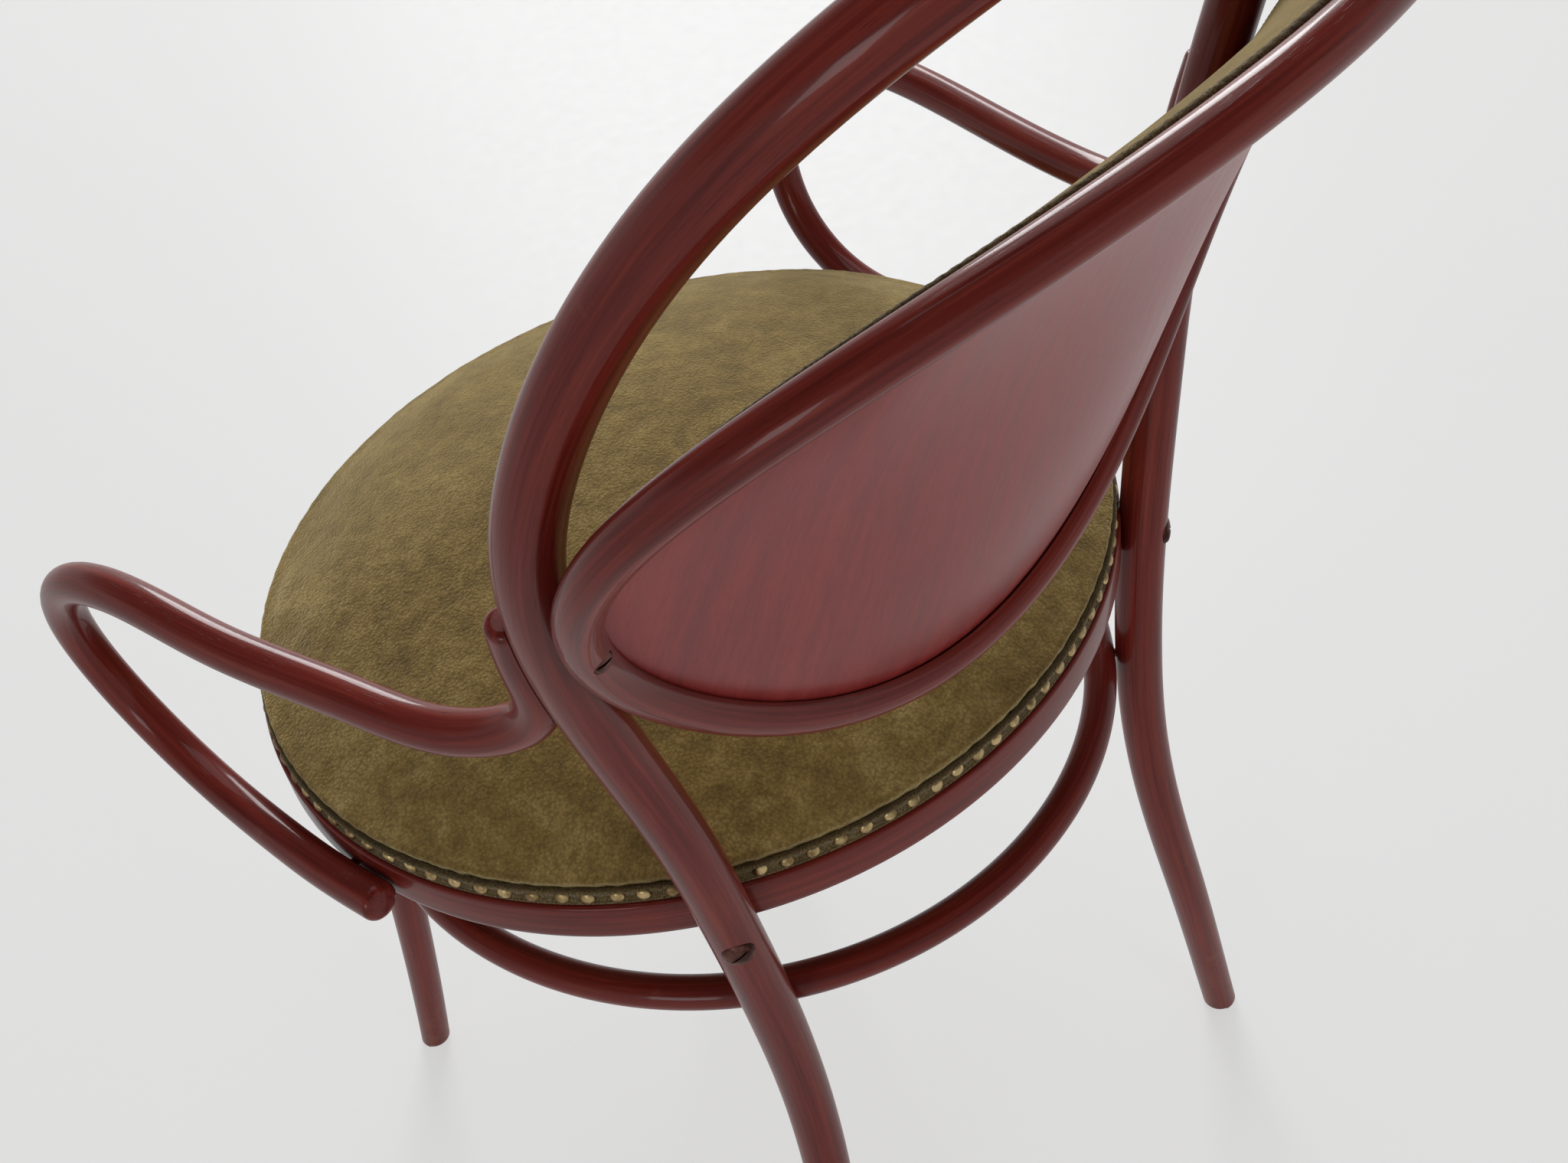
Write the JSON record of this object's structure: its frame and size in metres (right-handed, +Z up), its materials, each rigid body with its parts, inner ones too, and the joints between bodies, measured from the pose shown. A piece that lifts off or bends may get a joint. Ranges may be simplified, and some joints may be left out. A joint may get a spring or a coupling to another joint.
{
  "type": "bentwood chair",
  "caption": "Bentwood chair with looped side arms, a round domed upholstered seat, a stretcher ring and a dished oval padded back held inside a tall rear hoop.",
  "frame": {"origin": "on the floor, below the middle of the chair's overall box", "axes": "+Z up, -Y is the way the sitter faces, +X is the sitter's left"},
  "size_m": [0.5182, 0.566, 0.9235],
  "materials": {
    "stained_beech": "red-brown stain under gloss lacquer",
    "stained_ply": "red-brown stain under satin lacquer",
    "plain_ply": "bare plywood",
    "olive_fabric": "short olive-gold pile",
    "gimp_braid": "woven braid",
    "dark_steel": "darkened steel"
  },
  "bodies": {
    "root": {"back_hoop": "stained_beech", "back_ring": "stained_beech", "seat_rail": "stained_beech", "stretcher_ring": "stained_beech", "front_leg_left": "stained_beech", "front_leg_right": "stained_beech", "arm_left": "stained_beech", "arm_right": "stained_beech", "back_board": "stained_ply", "seat_board": "plain_ply", "back_pad": "olive_fabric", "seat_cushion": "olive_fabric", "seat_trim": "gimp_braid", "rail_bolt_left": "dark_steel", "rail_bolt_right": "dark_steel", "rail_washer_left": "dark_steel", "rail_washer_right": "dark_steel", "rail_nut_left": "dark_steel", "rail_nut_right": "dark_steel", "rail_screw_left": "dark_steel", "rail_screw_right": "dark_steel", "arm_screw_left": "dark_steel", "arm_screw_right": "dark_steel", "back_bolt_left": "dark_steel", "back_bolt_right": "dark_steel", "stretcher_screw_front_left": "dark_steel", "stretcher_screw_front_right": "dark_steel", "stretcher_screw_rear_left": "dark_steel", "stretcher_screw_rear_right": "dark_steel"}
  },
  "joints": []
}
